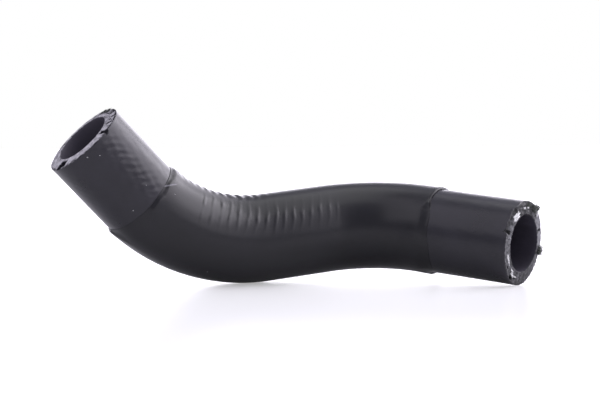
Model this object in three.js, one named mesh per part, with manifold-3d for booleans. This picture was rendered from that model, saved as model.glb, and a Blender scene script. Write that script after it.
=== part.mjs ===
// Moulded coolant hose: a thick rubber tube with two bends in planes almost square to each other, a thin
// rubber sleeve slid over its middle, and the broken ends of its knitted reinforcement standing out of both
// cut faces. Millimetres and degrees. It rests on the outside of its first bend and on its right rim.

import * as THREE from "three";
import { mergeVertices } from "three/addons/utils/BufferGeometryUtils.js";
import Module from "manifold-3d";

const wasm = await Module();
wasm.setup();

// Section of the hose and of the sleeve over it
const BORE_DIAMETER = 20;
const HOSE_WALL = 4.8;
const SLEEVE_CLEARANCE = 0.2;
const SLEEVE_WALL = 0.5;

// Centreline, from the left mouth to the right one
const LEFT_RUN = 26.5;
const FIRST_BEND_RADIUS = 57.5;
const FIRST_BEND_ANGLE = 52;
const MIDDLE_RUN = 23;
const SECOND_BEND_RADIUS = 40;
const SECOND_BEND_ANGLE = 52;
const RIGHT_RUN = 39;

// Clock directions are measured round the centreline, from the inside of the first bend
const SECOND_BEND_CLOCK = 95;
const RESTING_CLOCK = 173.6;

// Sleeve: how much hose stays bare at each end, and how its lips lift off the hose
const LEFT_BARE_LENGTH = 29;
const RIGHT_BARE_LENGTH = 32;
const LIP_LENGTH = 3;
const LEFT_LIP = { lift: 0.4, clock: 20 };
const RIGHT_LIP = { lift: 0.35, clock: 345 };

// Ridges where the knitted reinforcement shows through the sleeve, on the inside of the first bend
const RIDGE_START = 46.1;
const RIDGE_PITCH = 3.8;
const RIDGE_COUNT = 14;
const RIDGE_HEIGHT = 0.25;
const RIDGE_CLOCK = 40;
const RIDGE_SPREAD = 85;
const RIDGE_FADE = 0.65;

// Broken yarns in the cut faces, in the middle of the wall: thickness, height over the face, lean at the tip
const YARN_SEAT_DEPTH = 1.2;
const YARN_CLEARANCE = 0.3;
const LEFT_YARNS = [
  { clock: 322, thickness: 0.7, height: 1.2, lean: 0.5, colour: "dark" },
  { clock: 344, thickness: 0.7, height: 1.0, lean: 0.4, colour: "dark" },
  { clock: 12, thickness: 0.6, height: 0.7, lean: 0.2, colour: "dark" },
];
const RIGHT_YARNS = [
  { clock: 324, thickness: 1.9, height: 1.4, lean: 0.6, colour: "dark" },
  { clock: 347, thickness: 0.7, height: 0.5, lean: 0.1, colour: "white" },
  { clock: 2, thickness: 0.9, height: 0.6, lean: 0.1, colour: "white" },
  { clock: 30, thickness: 2.1, height: 1.0, lean: 0.3, colour: "white" },
  { clock: 106, thickness: 1.6, height: 0.8, lean: 0.2, colour: "white" },
  { clock: 133, thickness: 1.2, height: 0.8, lean: 0.2, colour: "white" },
  { clock: 146, thickness: 1.4, height: 1.0, lean: 0.3, colour: "white" },
  { clock: 248, thickness: 1.8, height: 2.8, lean: 0.6, colour: "dark" },
  { clock: 311, thickness: 1.4, height: 0.8, lean: 0.4, colour: "white" },
];

// Places where the knife tore the cut faces: distance in from the outer rim, width round the rim, length
// across the wall and depth
const LEFT_TEARS = [
  { clock: 155.5, inset: 2.4, width: 2.1, across: 1.9, depth: 1.5 },
  { clock: 64.5, inset: 2.4, width: 0.6, across: 6.2, depth: 0.6 },
  { clock: 40, inset: 2.1, width: 0.5, across: 1.8, depth: 0.8 },
  { clock: 244.5, inset: 2.8, width: 0.8, across: 1.2, depth: 0.6 },
];
const RIGHT_TEARS = [
  { clock: 63, inset: 0.9, width: 0.9, across: 3.0, depth: 0.9 },
  { clock: 281, inset: 3.4, width: 0.8, across: 3.2, depth: 0.8 },
];

// How the hose lies: compass heading and fall of its left run, and its roll about that run
const HEADING = 26.46;
const FALL = 45.83;
const ROLL = -171.04;

// Facets
const SIDES = 32;
const BEND_STEP = 4;
const STATIONS_PER_RIDGE = 4;
const YARN_SIDES = 6;
const YARN_STEPS = 3;
const YARN_TAPER = 0.6;

const BORE_RADIUS = BORE_DIAMETER / 2;
const HOSE_RADIUS = BORE_RADIUS + HOSE_WALL;
const SLEEVE_INNER_RADIUS = HOSE_RADIUS + SLEEVE_CLEARANCE;
const SLEEVE_OUTER_RADIUS = SLEEVE_INNER_RADIUS + SLEEVE_WALL;

const LEGS = [
  { length: LEFT_RUN },
  bend(FIRST_BEND_RADIUS, FIRST_BEND_ANGLE, 0),
  { length: MIDDLE_RUN },
  bend(SECOND_BEND_RADIUS, SECOND_BEND_ANGLE, SECOND_BEND_CLOCK),
  { length: RIGHT_RUN },
];
const HOSE_LENGTH = LEGS.reduce((sum, leg) => sum + leg.length, 0);
const SLEEVE_START = LEFT_BARE_LENGTH;
const SLEEVE_END = HOSE_LENGTH - RIGHT_BARE_LENGTH;

function radians(degrees) {
  return THREE.MathUtils.degToRad(degrees);
}

function bend(radius, angle, clock) {
  return { length: radius * radians(angle), radius, clock };
}

function shift(x, y, z) {
  return new THREE.Matrix4().makeTranslation(x, y, z);
}

function turnAboutZ(degrees) {
  return new THREE.Matrix4().makeRotationZ(radians(degrees));
}

// Frame on the centreline, this far along it: z points along the hose and x to the inside of the first bend
function frameAt(distance) {
  const frame = new THREE.Matrix4();
  let left = distance;
  for (const leg of LEGS) {
    const travel = Math.min(left, leg.length);
    left -= travel;
    if (leg.radius) {
      frame.multiply(turnAboutZ(leg.clock)).multiply(shift(leg.radius, 0, 0));
      frame.multiply(new THREE.Matrix4().makeRotationY(travel / leg.radius));
      frame.multiply(shift(-leg.radius, 0, 0)).multiply(turnAboutZ(-leg.clock));
    } else {
      frame.multiply(shift(0, 0, travel));
    }
    if (left <= 0) break;
  }
  return frame;
}

// How long one millimetre of centreline is on the wall at this radius and clock direction
function stretchAt(distance, radius, clock) {
  let start = 0;
  for (const leg of LEGS) {
    if (distance < start + leg.length) {
      return leg.radius ? 1 - (radius / leg.radius) * Math.cos(radians(clock - leg.clock)) : 1;
    }
    start += leg.length;
  }
  return 1;
}

// Stations at the ends of the legs and at even steps through the bends, between two distances
function stationsBetween(from, to) {
  const stations = [from];
  let start = 0;
  for (const leg of LEGS) {
    const steps = leg.radius ? Math.ceil(leg.length / (leg.radius * radians(BEND_STEP))) : 1;
    for (let i = 0; i < steps; i += 1) stations.push(start + (leg.length * i) / steps);
    start += leg.length;
  }
  return spread([...stations, to].filter((station) => station >= from && station <= to));
}

// Sorts stations and drops the ones that crowd the station before them
function spread(stations) {
  const crowded = BEND_STEP / 10;
  const sorted = [...stations].sort((a, b) => a - b);
  const last = sorted.at(-1);
  return [...sorted.filter((s, i) => i === 0 || (s - sorted[i - 1] > crowded && last - s > crowded)), last];
}

// Stations a quarter of a ridge apart, measured along the wall on the ridges' own side
function ridgeStations() {
  const spacing = RIDGE_PITCH / STATIONS_PER_RIDGE;
  const stations = [RIDGE_START];
  while (stations.length <= RIDGE_COUNT * STATIONS_PER_RIDGE) {
    const last = stations.at(-1);
    stations.push(last + spacing / stretchAt(last, SLEEVE_OUTER_RADIUS, RIDGE_CLOCK));
  }
  return stations;
}

const RIDGE_STATIONS = ridgeStations();

// One ring of corners round the centreline. A flat, not a corner, looks down where the hose rests.
function ring(distance, radiusAt) {
  const frame = frameAt(distance);
  return Array.from({ length: SIDES }, (_, i) => {
    const clock = RESTING_CLOCK + ((i + 0.5) * 360) / SIDES;
    const radius = radiusAt(distance, clock);
    const angle = radians(clock);
    return new THREE.Vector3(radius * Math.cos(angle), radius * Math.sin(angle), 0).applyMatrix4(frame);
  });
}

// Closed tube wall between an outer and an inner stack of rings, which share their first and last planes
function tubeWall(outerRings, innerRings) {
  const rings = [...outerRings, ...innerRings];
  const innerStart = outerRings.length;
  const index = [];
  const strip = (a, b) => {
    for (let i = 0; i < SIDES; i += 1) {
      const j = (i + 1) % SIDES;
      index.push(a * SIDES + i, a * SIDES + j, b * SIDES + j, a * SIDES + i, b * SIDES + j, b * SIDES + i);
    }
  };
  for (let i = 1; i < innerStart; i += 1) strip(i - 1, i);
  for (let i = innerStart + 1; i < rings.length; i += 1) strip(i, i - 1);
  strip(innerStart, 0);
  strip(innerStart - 1, rings.length - 1);
  const geometry = new THREE.BufferGeometry().setFromPoints(rings.flat());
  geometry.setIndex(index);
  return geometry;
}

function toSolid(geometry) {
  const vertProperties = new Float32Array(geometry.getAttribute("position").array);
  const triVerts = new Uint32Array(geometry.getIndex().array);
  return new wasm.Manifold(new wasm.Mesh({ numProp: 3, vertProperties, triVerts }));
}

function toGeometry(solid) {
  const mesh = solid.getMesh();
  const geometry = new THREE.BufferGeometry();
  geometry.setAttribute("position", new THREE.BufferAttribute(mesh.vertProperties, mesh.numProp));
  geometry.setIndex(new THREE.BufferAttribute(mesh.triVerts, 1));
  return geometry;
}

// Prism along z between two heights, in even steps, with its radius set by the height
function prism(sides, low, high, steps, radiusAt) {
  const corners = [];
  for (let k = 0; k <= steps; k += 1) {
    const height = low + ((high - low) * k) / steps;
    for (let i = 0; i < sides; i += 1) {
      const angle = (i * 2 * Math.PI) / sides;
      const radius = radiusAt(height);
      corners.push(new THREE.Vector3(radius * Math.cos(angle), radius * Math.sin(angle), height));
    }
  }
  const foot = corners.length;
  const head = foot + 1;
  corners.push(new THREE.Vector3(0, 0, low), new THREE.Vector3(0, 0, high));
  const index = [];
  for (let i = 0; i < sides; i += 1) {
    const j = (i + 1) % sides;
    for (let k = 0; k < steps; k += 1) {
      const [a, b] = [k * sides, (k + 1) * sides];
      index.push(a + i, a + j, b + j, a + i, b + j, b + i);
    }
    index.push(foot, j, i, head, steps * sides + i, steps * sides + j);
  }
  const geometry = new THREE.BufferGeometry().setFromPoints(corners);
  geometry.setIndex(index);
  return geometry;
}

// Box centred on the origin, with its corners shared
function box(x, y, z) {
  const geometry = new THREE.BoxGeometry(x, y, z);
  geometry.deleteAttribute("normal");
  geometry.deleteAttribute("uv");
  return mergeVertices(geometry);
}

// Frames on the two cut faces: z points out of the hose, and x lies in the clock direction
function leftFaceAt(clock) {
  return frameAt(0).multiply(turnAboutZ(clock)).multiply(new THREE.Matrix4().makeRotationX(Math.PI));
}

function rightFaceAt(clock) {
  return frameAt(HOSE_LENGTH).multiply(turnAboutZ(clock));
}

// Blind seat for a yarn, in the middle of the wall
function yarnSeat(faceAt, yarn) {
  const radius = yarn.thickness / 2 + YARN_CLEARANCE;
  const seat = prism(YARN_SIDES, -YARN_SEAT_DEPTH, YARN_SEAT_DEPTH, 1, () => radius);
  return seat.applyMatrix4(faceAt(yarn.clock).multiply(shift(HOSE_RADIUS - HOSE_WALL / 2, 0, 0)));
}

// Torn slot or pit in a cut face
function tearCut(faceAt, tear) {
  const cut = box(tear.across, tear.width, 2 * tear.depth);
  return cut.applyMatrix4(faceAt(tear.clock).multiply(shift(HOSE_RADIUS - tear.inset, 0, 0)));
}

// Hose: one rubber tube with its bore, less the yarn seats and the tears
function hoseBody() {
  const stations = stationsBetween(0, HOSE_LENGTH);
  const wall = tubeWall(
    stations.map((station) => ring(station, () => HOSE_RADIUS)),
    stations.map((station) => ring(station, () => BORE_RADIUS)),
  );
  const cuts = [
    ...LEFT_YARNS.map((yarn) => yarnSeat(leftFaceAt, yarn)),
    ...RIGHT_YARNS.map((yarn) => yarnSeat(rightFaceAt, yarn)),
    ...LEFT_TEARS.map((tear) => tearCut(leftFaceAt, tear)),
    ...RIGHT_TEARS.map((tear) => tearCut(rightFaceAt, tear)),
  ];
  return toGeometry(cuts.reduce((solid, cut) => solid.subtract(toSolid(cut)), toSolid(wall)));
}

// Share of a lip's lift at this distance from the lip's edge and in this clock direction
function lipShare(lip, fromEdge, clock) {
  const along = Math.max(0, 1 - fromEdge / LIP_LENGTH) ** 2;
  return (lip.lift * along * (1 + Math.cos(radians(clock - lip.clock)))) / 2;
}

function sleeveLift(distance, clock) {
  const left = lipShare(LEFT_LIP, distance - SLEEVE_START, clock);
  const right = lipShare(RIGHT_LIP, SLEEVE_END - distance, clock);
  return left + right;
}

// Height of the ridges: they fade away round the sleeve, and grow fainter from the first to the last
function ridgeHeight(distance, clock) {
  const first = RIDGE_STATIONS[0];
  const last = RIDGE_STATIONS.at(-1);
  const away = Math.abs(THREE.MathUtils.euclideanModulo(clock - RIDGE_CLOCK + 180, 360) - 180);
  if (distance <= first || distance >= last || away >= RIDGE_SPREAD) return 0;
  const next = RIDGE_STATIONS.findIndex((station) => station > distance);
  const span = RIDGE_STATIONS[next] - RIDGE_STATIONS[next - 1];
  const phase = (next - 1 + (distance - RIDGE_STATIONS[next - 1]) / span) / STATIONS_PER_RIDGE;
  const wave = (1 - Math.cos(2 * Math.PI * phase)) / 2;
  const round = Math.cos((away / RIDGE_SPREAD) * (Math.PI / 2)) ** 2;
  return RIDGE_HEIGHT * wave * round * (1 - (RIDGE_FADE * (distance - first)) / (last - first));
}

// Sleeve: a thin rubber tube of even wall that follows the hose
function abrasionSleeve() {
  const lips = [SLEEVE_START + LIP_LENGTH / 3, SLEEVE_START + LIP_LENGTH, SLEEVE_END - LIP_LENGTH / 3];
  const plain = spread([...stationsBetween(SLEEVE_START, SLEEVE_END), ...lips, SLEEVE_END - LIP_LENGTH]);
  const outside = plain.filter((s) => s < RIDGE_STATIONS[0] || s > RIDGE_STATIONS.at(-1));
  return tubeWall(
    spread([...outside, ...RIDGE_STATIONS]).map((station) =>
      ring(station, (s, clock) => SLEEVE_OUTER_RADIUS + sleeveLift(s, clock) + ridgeHeight(s, clock))),
    plain.map((station) => ring(station, (s, clock) => SLEEVE_INNER_RADIUS + sleeveLift(s, clock))),
  );
}

// Broken end of one reinforcement yarn: thickest at the face, thin at the tip, leaning away from the bore
function yarnEnd(faceAt, yarn) {
  const root = yarn.thickness / 2;
  const foot = YARN_CLEARANCE - YARN_SEAT_DEPTH;
  const rise = (height) => Math.max(0, height / yarn.height);
  const radiusAt = (height) => root * (1 - YARN_TAPER * rise(height));
  const end = prism(YARN_SIDES, foot, yarn.height, YARN_STEPS, radiusAt);
  const position = end.getAttribute("position");
  for (let i = 0; i < position.count; i += 1) {
    position.setX(i, position.getX(i) + yarn.lean * rise(position.getZ(i)) ** 2);
  }
  return end.applyMatrix4(faceAt(yarn.clock).multiply(shift(HOSE_RADIUS - HOSE_WALL / 2, 0, 0)));
}

const HOSE_RUBBER = new THREE.MeshStandardMaterial({ color: 0x25252d, roughness: 0.5, metalness: 0 });
const SLEEVE_RUBBER = new THREE.MeshStandardMaterial({ color: 0x222229, roughness: 0.42, metalness: 0 });
const WHITE_YARN = new THREE.MeshStandardMaterial({ color: 0xd9d9d6, roughness: 0.9, metalness: 0 });
const DARK_YARN = new THREE.MeshStandardMaterial({ color: 0x4d514c, roughness: 0.9, metalness: 0 });

function piece(name, geometry, material) {
  const mesh = new THREE.Mesh(geometry, material);
  mesh.name = name;
  return mesh;
}

const hose = new THREE.Group();
hose.add(piece("hose_body", hoseBody(), HOSE_RUBBER));
hose.add(piece("abrasion_sleeve", abrasionSleeve(), SLEEVE_RUBBER));
for (const [side, faceAt, yarns] of [["left", leftFaceAt, LEFT_YARNS], ["right", rightFaceAt, RIGHT_YARNS]]) {
  yarns.forEach((yarn, i) => {
    const material = yarn.colour === "white" ? WHITE_YARN : DARK_YARN;
    hose.add(piece(`${side}_yarn_${i + 1}`, yarnEnd(faceAt, yarn), material));
  });
}

// Lay the hose down: its lowest point at height zero, and the middle of its outline over the origin
const attitude = turnAboutZ(HEADING);
attitude.multiply(new THREE.Matrix4().makeRotationY(radians(90 + FALL))).multiply(turnAboutZ(ROLL));
hose.quaternion.setFromRotationMatrix(attitude);
const bounds = new THREE.Box3().setFromObject(hose, true);
const middle = bounds.getCenter(new THREE.Vector3());
hose.position.set(-middle.x, -middle.y, -bounds.min.z);

const part = new THREE.Group();
part.add(hose);

export default part;
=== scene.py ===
import bpy
import numpy as np
from mathutils import Euler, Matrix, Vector


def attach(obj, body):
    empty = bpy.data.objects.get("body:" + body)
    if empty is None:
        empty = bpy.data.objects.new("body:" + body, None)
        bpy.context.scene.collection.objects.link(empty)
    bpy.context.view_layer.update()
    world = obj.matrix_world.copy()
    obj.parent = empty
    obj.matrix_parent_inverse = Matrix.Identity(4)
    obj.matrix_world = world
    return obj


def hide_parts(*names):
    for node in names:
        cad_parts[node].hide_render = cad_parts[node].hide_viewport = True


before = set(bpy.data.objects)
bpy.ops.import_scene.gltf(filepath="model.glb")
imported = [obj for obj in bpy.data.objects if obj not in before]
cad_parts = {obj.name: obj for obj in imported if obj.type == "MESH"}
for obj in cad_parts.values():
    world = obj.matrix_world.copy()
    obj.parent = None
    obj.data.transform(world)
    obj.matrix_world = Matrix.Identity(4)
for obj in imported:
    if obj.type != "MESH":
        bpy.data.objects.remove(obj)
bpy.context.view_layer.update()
scene = bpy.context.scene
scene.view_settings.view_transform = "Standard"


# Camera: it stands low over the table with a long lens, nearly square to the length of the hose. Its place
# and turn are those that fit the outline of the hose in the photograph.
CAMERA_LENS = 114.0
CAMERA_SENSOR_WIDTH = 36.0
CAMERA_FAR_CLIP = 50.0
CAMERA_PLACE = (-0.00004, -0.66026, 0.07499)
CAMERA_TURN = (86.05, 0.344, 0.0)

camera_data = bpy.data.cameras.new("camera")
camera_data.lens = CAMERA_LENS
camera_data.sensor_width = CAMERA_SENSOR_WIDTH
camera_data.clip_end = CAMERA_FAR_CLIP
camera = bpy.data.objects.new("camera", camera_data)
camera.location = CAMERA_PLACE
camera.rotation_euler = Euler(np.radians(CAMERA_TURN))
scene.collection.objects.link(camera)
scene.camera = camera


# Table: a wide sheet of white board with a faint gloss, on which the hose rests. It is lifted to the
# photograph's clean white where the camera sees it, and very slightly in reflections, so the shadow under the
# hose stays.
PURE_WHITE = (1.0, 1.0, 1.0, 1.0)
TABLE_REACH = 1.15
TABLE_WHITE = (0.60, 0.60, 0.615, 1.0)
TABLE_ROUGHNESS = 0.26
TABLE_SPECULAR = 0.2
TABLE_CAMERA_LIFT = 0.37
TABLE_MIRROR_LIFT = 0.05


def new_material(name):
    """A material and its main shader."""
    material = bpy.data.materials.new(name)
    material.use_nodes = True
    return material, material.node_tree.nodes["Principled BSDF"]


def node(material, kind, **settings):
    """One shader node, with its properties set."""
    made = material.node_tree.nodes.new(kind)
    for name, value in settings.items():
        setattr(made, name, value)
    return made


def link(material, source, target):
    """Joins an output socket to an input socket."""
    material.node_tree.links.new(source, target)


def multiply_add(material, value, factor, extra):
    """A socket's value times a number, plus a number or another socket's value."""
    made = node(material, "ShaderNodeMath", operation="MULTIPLY_ADD")
    link(material, value, made.inputs[0])
    made.inputs[1].default_value = factor
    if isinstance(extra, float):
        made.inputs[2].default_value = extra
    else:
        link(material, extra, made.inputs[2])
    return made.outputs[0]


table_material, table_shader = new_material("table_white")
table_shader.inputs["Base Color"].default_value = TABLE_WHITE
table_shader.inputs["Roughness"].default_value = TABLE_ROUGHNESS
table_shader.inputs["Specular IOR Level"].default_value = TABLE_SPECULAR
table_shader.inputs["Emission Color"].default_value = PURE_WHITE
table_path = node(table_material, "ShaderNodeLightPath")
camera_lift = multiply_add(table_material, table_path.outputs["Is Camera Ray"], TABLE_CAMERA_LIFT, 0.0)
table_lift = multiply_add(table_material, table_path.outputs["Is Glossy Ray"], TABLE_MIRROR_LIFT, camera_lift)
link(table_material, table_lift, table_shader.inputs["Emission Strength"])

table_corners = [(x * TABLE_REACH, y * TABLE_REACH, 0) for x, y in ((-1, -1), (1, -1), (1, 1), (-1, 1))]
table_mesh = bpy.data.meshes.new("table")
table_mesh.from_pydata(table_corners, [], [(0, 1, 2, 3)])
table_mesh.materials.append(table_material)
table = bpy.data.objects.new("table", table_mesh)
scene.collection.objects.link(table)


# Room: past the table the camera sees pure white, and everything else gets the dim lavender grey of a room
# that is lit only by its lamps.
ROOM_DIM = (0.38, 0.38, 0.45, 1.0)

world = bpy.data.worlds.new("room")
scene.world = world
world.use_nodes = True
room = world.node_tree
dim = room.nodes["Background"]
dim.inputs["Color"].default_value = ROOM_DIM
white = room.nodes.new("ShaderNodeBackground")
white.inputs["Color"].default_value = PURE_WHITE
room_path = room.nodes.new("ShaderNodeLightPath")
room_mix = room.nodes.new("ShaderNodeMixShader")
room.links.new(room_path.outputs["Is Camera Ray"], room_mix.inputs["Fac"])
room.links.new(dim.outputs["Background"], room_mix.inputs[1])
room.links.new(white.outputs["Background"], room_mix.inputs[2])
room.links.new(room_mix.outputs["Shader"], room.nodes["World Output"].inputs["Surface"])


# Lamps: a large soft box on the right with weaker ones beside it, a wall of light behind the hose, a weak
# fill in front on the left and a wide panel overhead. Between them they draw the photograph's soft
# highlights.
LAMP_TINT = (1.0, 0.96, 1.05)
# Name, azimuth, lower edge, upper edge and spread in degrees, distance in metres, radiance
SOFT_LAMPS = (
    ("soft_box", 67.5, 9.0, 60.0, 45.0, 1.2, 2.75),
    ("soft_box_side", 106.0, 24.0, 60.0, 32.0, 1.2, 2.75),
    ("soft_box_foot", 106.0, 9.0, 24.0, 32.0, 1.2, 1.5),
    ("soft_box_rear", 53.0, 10.0, 38.0, 36.0, 1.15, 1.2),
    ("soft_box_strip", 131.0, 5.0, 14.0, 10.0, 1.15, 1.6),
    ("soft_box_front", 134.0, 9.0, 56.0, 24.0, 1.2, 0.9),
    ("back_wall_low", 21.0, 0.0, 23.0, 76.0, 1.6, 2.7),
    ("back_wall_high", 32.0, 24.0, 50.0, 38.0, 1.6, 1.5),
    ("back_left", -39.0, 0.0, 45.0, 42.0, 1.6, 0.95),
    ("fill", -110.0, 22.0, 78.0, 84.0, 0.8, 0.62),
)
OVERHEAD_SIZE = (2.0, 2.2)
OVERHEAD_RADIANCE = 0.9
OVERHEAD_PLACE = (0.75, 0.35, 1.9)


def area_lamp(name, width, height, radiance, place):
    """A rectangular lamp that the camera doesn't see. Its power is its radiance times pi times its area."""
    data = bpy.data.lights.new(name, "AREA")
    data.shape = "RECTANGLE"
    data.size = width
    data.size_y = height
    data.energy = radiance * np.pi * width * height
    lamp = bpy.data.objects.new(name, data)
    lamp.location = Vector(place)
    lamp.visible_camera = False
    scene.collection.objects.link(lamp)
    return lamp


def soft_lamp(name, azimuth, low, high, spread, distance, radiance):
    """A lamp that faces the hose. Its azimuth turns from straight behind the hose towards the right, low and
    high are the elevations of its edges and spread is its width in azimuth, all as seen from the hose: its
    width is twice the distance times the tangent of half the spread."""
    turned = np.radians(azimuth)
    outward = np.array([np.sin(turned), np.cos(turned), 0.0])
    bottom, top = np.tan(np.radians((low, high))) * distance
    width = 2 * distance * np.tan(np.radians(spread / 2))
    place = outward * distance + np.array([0.0, 0.0, (bottom + top) / 2])
    lamp = area_lamp(name, width, top - bottom, radiance, place)
    lamp.data.color = LAMP_TINT
    lamp.rotation_euler = Vector(-outward).to_track_quat("-Z", "Y").to_euler()


for lamp_row in SOFT_LAMPS:
    soft_lamp(*lamp_row)
area_lamp("overhead", *OVERHEAD_SIZE, OVERHEAD_RADIANCE, OVERHEAD_PLACE)


# Hose: one moulded tube of black rubber, extruded round a knitted reinforcement and cured on a bent mandrel.
# The knit presses through the skin. Both ends are cut off with a knife, so the cut faces are rough and show
# the grey inside of the rubber.
MM = 0.001
BORE_RADIUS = 10.0 * MM
HOSE_RADIUS = 14.8 * MM
LEFT_RUN = 26.5 * MM
FIRST_BEND_RADIUS = 57.5 * MM
MIDDLE_RUN = 23.0 * MM
SECOND_BEND_RADIUS = 40.0 * MM
BEND_ANGLE = np.radians(52.0)
SECOND_BEND_CLOCK = np.radians(95.0)
RIGHT_RUN = 39.0 * MM
LEFT_BARE = 29.0 * MM
RIGHT_BARE = 32.0 * MM
# Where the route starts, and how it turns there
LEFT_MOUTH = np.array([-73.60247, -18.73227, 52.01969]) * MM
HEADING, FALL, ROLL = np.radians((26.46, 45.83, -171.04))
# Length, radius and clock angle of each leg. A straight leg has no radius.
ROUTE = (
    (LEFT_RUN, None, 0.0),
    (FIRST_BEND_RADIUS * BEND_ANGLE, FIRST_BEND_RADIUS, 0.0),
    (MIDDLE_RUN, None, 0.0),
    (SECOND_BEND_RADIUS * BEND_ANGLE, SECOND_BEND_RADIUS, SECOND_BEND_CLOCK),
    (RIGHT_RUN, None, 0.0),
)
HOSE_LENGTH = sum(leg[0] for leg in ROUTE)
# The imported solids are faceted, so their flats lie this much inside their corners. The smooth wall follows
# the flats, and rests on the table as they do.
FLATS = 0.073 * MM
SKIN_RADIUS = HOSE_RADIUS - FLATS
EDGE_ROUNDING = 0.22 * MM


def turn(axis, angle):
    """4 by 4 matrices that turn by each angle about one axis."""
    angle = np.asarray(angle, float)
    out = np.zeros(angle.shape + (4, 4))
    out[...] = np.eye(4)
    i, j = ((1, 2), (2, 0), (0, 1))["xyz".index(axis)]
    out[..., i, i] = out[..., j, j] = np.cos(angle)
    out[..., j, i] = np.sin(angle)
    out[..., i, j] = -np.sin(angle)
    return out


def move(x, z):
    """4 by 4 matrices that move by x across and z along."""
    x, z = np.broadcast_arrays(np.asarray(x, float), np.asarray(z, float))
    out = np.zeros(x.shape + (4, 4))
    out[...] = np.eye(4)
    out[..., 0, 3] = x
    out[..., 2, 3] = z
    return out


def route_frames(distance):
    """Frames on the centreline: z along the hose, x to the inside of the first bend. Each leg of the route
    adds its own share of the distance: a straight leg moves along z, and a bend turns about an axis that
    stands its radius away in its clock direction. Before the first leg and past the last the route goes
    straight on."""
    distance = np.asarray(distance, float)
    start = np.eye(4)
    start[:3, 3] = LEFT_MOUTH
    frames = start @ turn("z", HEADING) @ turn("y", np.pi / 2 + FALL) @ turn("z", ROLL)
    begin = 0.0
    for i, (length, radius, clock) in enumerate(ROUTE):
        low = -np.inf if i == 0 else 0.0
        high = np.inf if i == len(ROUTE) - 1 else length
        travel = np.clip(distance - begin, low, high)
        if radius is None:
            frames = frames @ move(0.0, travel)
        else:
            frames = frames @ turn("z", clock) @ move(radius, 0.0) @ turn("y", travel / radius)
            frames = frames @ move(-radius, 0.0) @ turn("z", -clock)
        begin += length
    return frames


def sideways(frames, clock):
    """Directions across the hose: each frame's x and y axes, mixed by the cosine and sine of the clock
    angle."""
    return np.cos(clock)[..., None] * frames[..., :3, 0] + np.sin(clock)[..., None] * frames[..., :3, 1]


def on_route(distance, radius, clock):
    """Points at a distance along the route, a radius off it and a clock angle round it: the frame's place
    plus the radius times the direction across the hose."""
    frames = route_frames(distance)
    return frames[..., :3, 3] + radius[..., None] * sideways(frames, clock)


def smooth(edge_0, edge_1, x):
    """Rises from 0 to 1 between two edges along the cubic 3 t squared minus 2 t cubed."""
    t = np.clip((x - edge_0) / (edge_1 - edge_0), 0.0, 1.0)
    return t * t * (3 - 2 * t)


def apart(clock, other):
    """Signed difference between two clock angles, from minus half a turn to half a turn."""
    return (clock - other + np.pi) % (2 * np.pi) - np.pi


def window(clock, sector):
    """1 inside a sector of the clock and 0 outside. A sector is its start, its end and how wide its soft
    edges are, in degrees. It goes up from its start, past 360 where its end is the smaller number."""
    start, end, soft = sector
    half = (end - start) % 360 / 2
    middle = np.radians(start + half)
    return 1 - smooth(np.radians(half - soft / 2), np.radians(half + soft / 2), np.abs(apart(clock, middle)))


def by_clock(clock, pairs):
    """Straight lines between (clock angle in degrees, value) pairs, going all the way round."""
    angles, values = zip(*pairs)
    return np.interp(np.degrees(clock) % 360, angles, values, period=360)


GRAIN_ROWS = 256


def grain(field, u, clock):
    """Smooth random field. A field is its seed, its height, the length of its cells along u in millimetres
    and how many of them go round the clock. It blends between seeded values on a lattice, from minus to plus
    its height, with the cubic of smooth(), and repeats after 256 cells along u."""
    seed, height, cell, cells_round = field
    values = np.random.default_rng(seed).uniform(-1, 1, (GRAIN_ROWS + 1, cells_round))
    x = (u / (cell * MM)) % GRAIN_ROWS
    y = (clock / (2 * np.pi) % 1.0) * cells_round
    i, j = np.floor(x).astype(int), np.floor(y).astype(int) % cells_round
    s, t = smooth(0, 1, x - np.floor(x)), smooth(0, 1, y - np.floor(y))
    k, m = (i + 1) % (GRAIN_ROWS + 1), (j + 1) % cells_round
    near = values[i, j] * (1 - t) + values[i, m] * t
    far = values[k, j] * (1 - t) + values[k, m] * t
    return height * (near * (1 - s) + far * s)


# Rubber: cloudy in colour and gloss, dusted with specks and finely pebbled
CLOUD_SCALE = 90.0
CLOUD_DETAIL = 4.0
CLOUD_LEVELS = (0.35, 0.65)
CLOUD_CONTRAST = 0.18
CLOUD_GLOSS = 0.05
SPECK_EDGE = 0.06
SPECK_DETAIL = 2.0
PEBBLE_DETAIL = 3.0
PEBBLE_HEIGHT = 0.1 * MM
# A Mix node's sockets for colours: its two inputs and its output
MIX_UNDER, MIX_OVER, MIX_RESULT = 6, 7, 2


def object_noise(material, scale, detail):
    """A noise pattern in Object coordinates."""
    place = node(material, "ShaderNodeTexCoord")
    noise = node(material, "ShaderNodeTexNoise")
    noise.inputs["Scale"].default_value = scale
    noise.inputs["Detail"].default_value = detail
    link(material, place.outputs["Object"], noise.inputs["Vector"])
    return noise.outputs["Fac"]


def ramp(material, value, levels, dark, light):
    """Goes from a dark colour to a light one between two levels of a socket's value."""
    made = node(material, "ShaderNodeValToRGB")
    for element, level, colour in zip(made.color_ramp.elements, levels, (dark, light)):
        element.position = level
        element.color = (*colour, 1.0)
    link(material, value, made.inputs["Fac"])
    return made.outputs["Color"]


def lay_over(material, share, under, colour):
    """Lays one colour over another socket's colour by a socket's share."""
    mix = node(material, "ShaderNodeMix", data_type="RGBA")
    link(material, share, mix.inputs["Factor"])
    link(material, under, mix.inputs[MIX_UNDER])
    mix.inputs[MIX_OVER].default_value = (*colour, 1.0)
    return mix.outputs[MIX_RESULT]


def emboss(material, shader, height, strength, distance):
    """A bump from a socket's height."""
    relief = node(material, "ShaderNodeBump")
    relief.inputs["Strength"].default_value = strength
    relief.inputs["Distance"].default_value = distance
    link(material, height, relief.inputs["Height"])
    link(material, relief.outputs["Normal"], shader.inputs["Normal"])


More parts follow.
